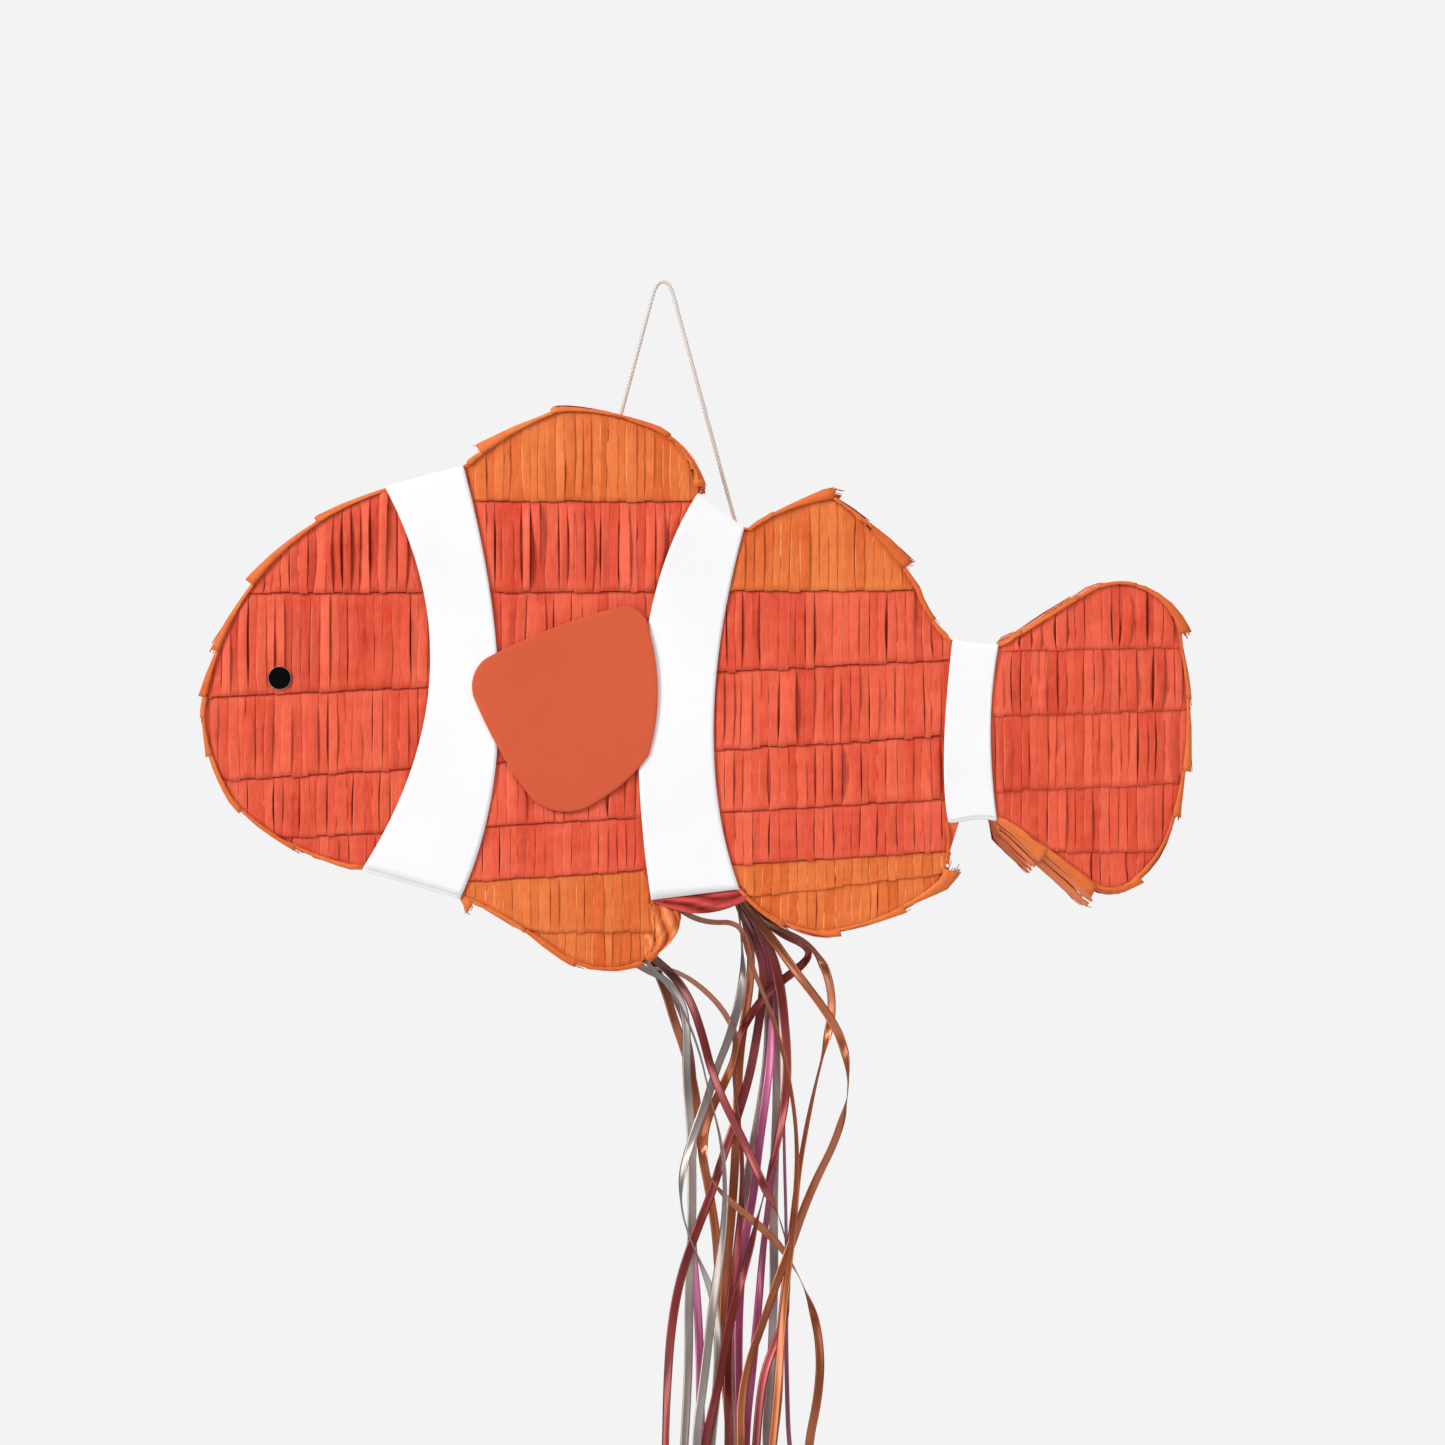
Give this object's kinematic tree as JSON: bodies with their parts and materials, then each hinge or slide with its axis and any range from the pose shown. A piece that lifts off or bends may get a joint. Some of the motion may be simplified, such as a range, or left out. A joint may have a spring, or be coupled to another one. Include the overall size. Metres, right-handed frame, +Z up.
{
  "type": "pinata",
  "caption": "Clownfish-shaped pull-ribbon pinata: hollow card carcass in cut tissue paper with white stripes, card fins, hanging loop, filler flap and belly trapdoor",
  "frame": {"origin": "The underside of the top of the hanging loop, where it bears on a hook, in the middle of the pinata's depth", "axes": "+Z up, nose towards -X, front face towards -Y"},
  "size_m": [0.5494, 0.095, 0.788],
  "materials": {
    "carcass_card": "matte",
    "red_tissue": "matte",
    "orange_tissue": "matte",
    "dark_red_tissue": "matte",
    "white_paper": "matte",
    "terracotta_card": "matte",
    "black_card": "matte",
    "white_cord": "matte",
    "copper_ribbon": "satin",
    "silver_ribbon": "satin",
    "red_ribbon": "satin",
    "magenta_ribbon": "satin",
    "paper_tape": "matte"
  },
  "bodies": {
    "hanging_loop": {"hanging_cord": "white_cord", "cord_knots": "white_cord"},
    "carcass": {"anal_fin_band": "carcass_card", "anal_fin_tissue": "orange_tissue", "back_panel": "carcass_card", "back_pectoral_fin": "terracotta_card", "back_tissue_orange": "orange_tissue", "back_tissue_red": "red_tissue", "belly_band": "carcass_card", "belly_edge_tissue": "dark_red_tissue", "body_stripe": "white_paper", "body_tissue_row_1": "red_tissue", "body_tissue_row_2": "red_tissue", "body_tissue_row_3": "red_tissue", "body_tissue_row_4": "red_tissue", "body_tissue_row_5": "red_tissue", "copper_ribbon_1": "copper_ribbon", "copper_ribbon_2": "copper_ribbon", "copper_ribbon_3": "copper_ribbon", "copper_ribbon_4": "copper_ribbon", "copper_ribbon_5": "copper_ribbon", "cord_washers": "carcass_card", "eyes": "black_card", "forehead_band": "carcass_card", "front_belly_edge_tissue": "orange_tissue", "front_dorsal_band": "carcass_card", "front_dorsal_tissue": "orange_tissue", "front_panel": "carcass_card", "front_pectoral_fin": "terracotta_card", "head_stripe": "white_paper", "magenta_ribbon_1": "magenta_ribbon", "magenta_ribbon_2": "magenta_ribbon", "magenta_ribbon_3": "magenta_ribbon", "magenta_ribbon_4": "magenta_ribbon", "pelvic_fin_band": "carcass_card", "pelvic_fin_tissue": "orange_tissue", "rear_belly_edge_tissue": "orange_tissue", "rear_dorsal_band": "carcass_card", "rear_dorsal_tissue": "orange_tissue", "red_ribbon_1": "red_ribbon", "red_ribbon_2": "red_ribbon", "red_ribbon_3": "red_ribbon", "red_ribbon_4": "red_ribbon", "ribbon_tape": "paper_tape", "silver_ribbon_1": "silver_ribbon", "silver_ribbon_2": "silver_ribbon", "silver_ribbon_3": "silver_ribbon", "silver_ribbon_4": "silver_ribbon", "silver_ribbon_5": "silver_ribbon", "tail_band": "carcass_card", "tail_edge_tissue": "orange_tissue", "tail_stripe": "white_paper", "tail_tissue": "red_tissue", "throat_band": "carcass_card", "top_edge_tissue": "orange_tissue"},
    "trapdoor": {"trapdoor": "carcass_card", "trapdoor_tissue": "dark_red_tissue", "pull_ribbon": "copper_ribbon"},
    "filler_flap": {"filler_flap": "carcass_card", "filler_flap_tissue": "red_tissue"}
  },
  "joints": [
    {"name": "carcass_swing", "type": "hinge", "parent": "hanging_loop", "child": "carcass", "pos_m": [-0.0248, 0, -0.078], "axis": [0.7322, 0, -0.681], "range_deg": [-20, 20]},
    {"name": "trapdoor_hinge", "type": "hinge", "parent": "carcass", "child": "trapdoor", "pos_m": [0.037, 0, -0.34073], "axis": [0, -1, 0], "range_deg": [0, 80], "deforming": ["pull_ribbon"]},
    {"name": "filler_flap_hinge", "type": "hinge", "parent": "carcass", "child": "filler_flap", "pos_m": [-0.045, 0.045, -0.13], "axis": [1, 0, 0], "range_deg": [0, 110]}
  ]
}
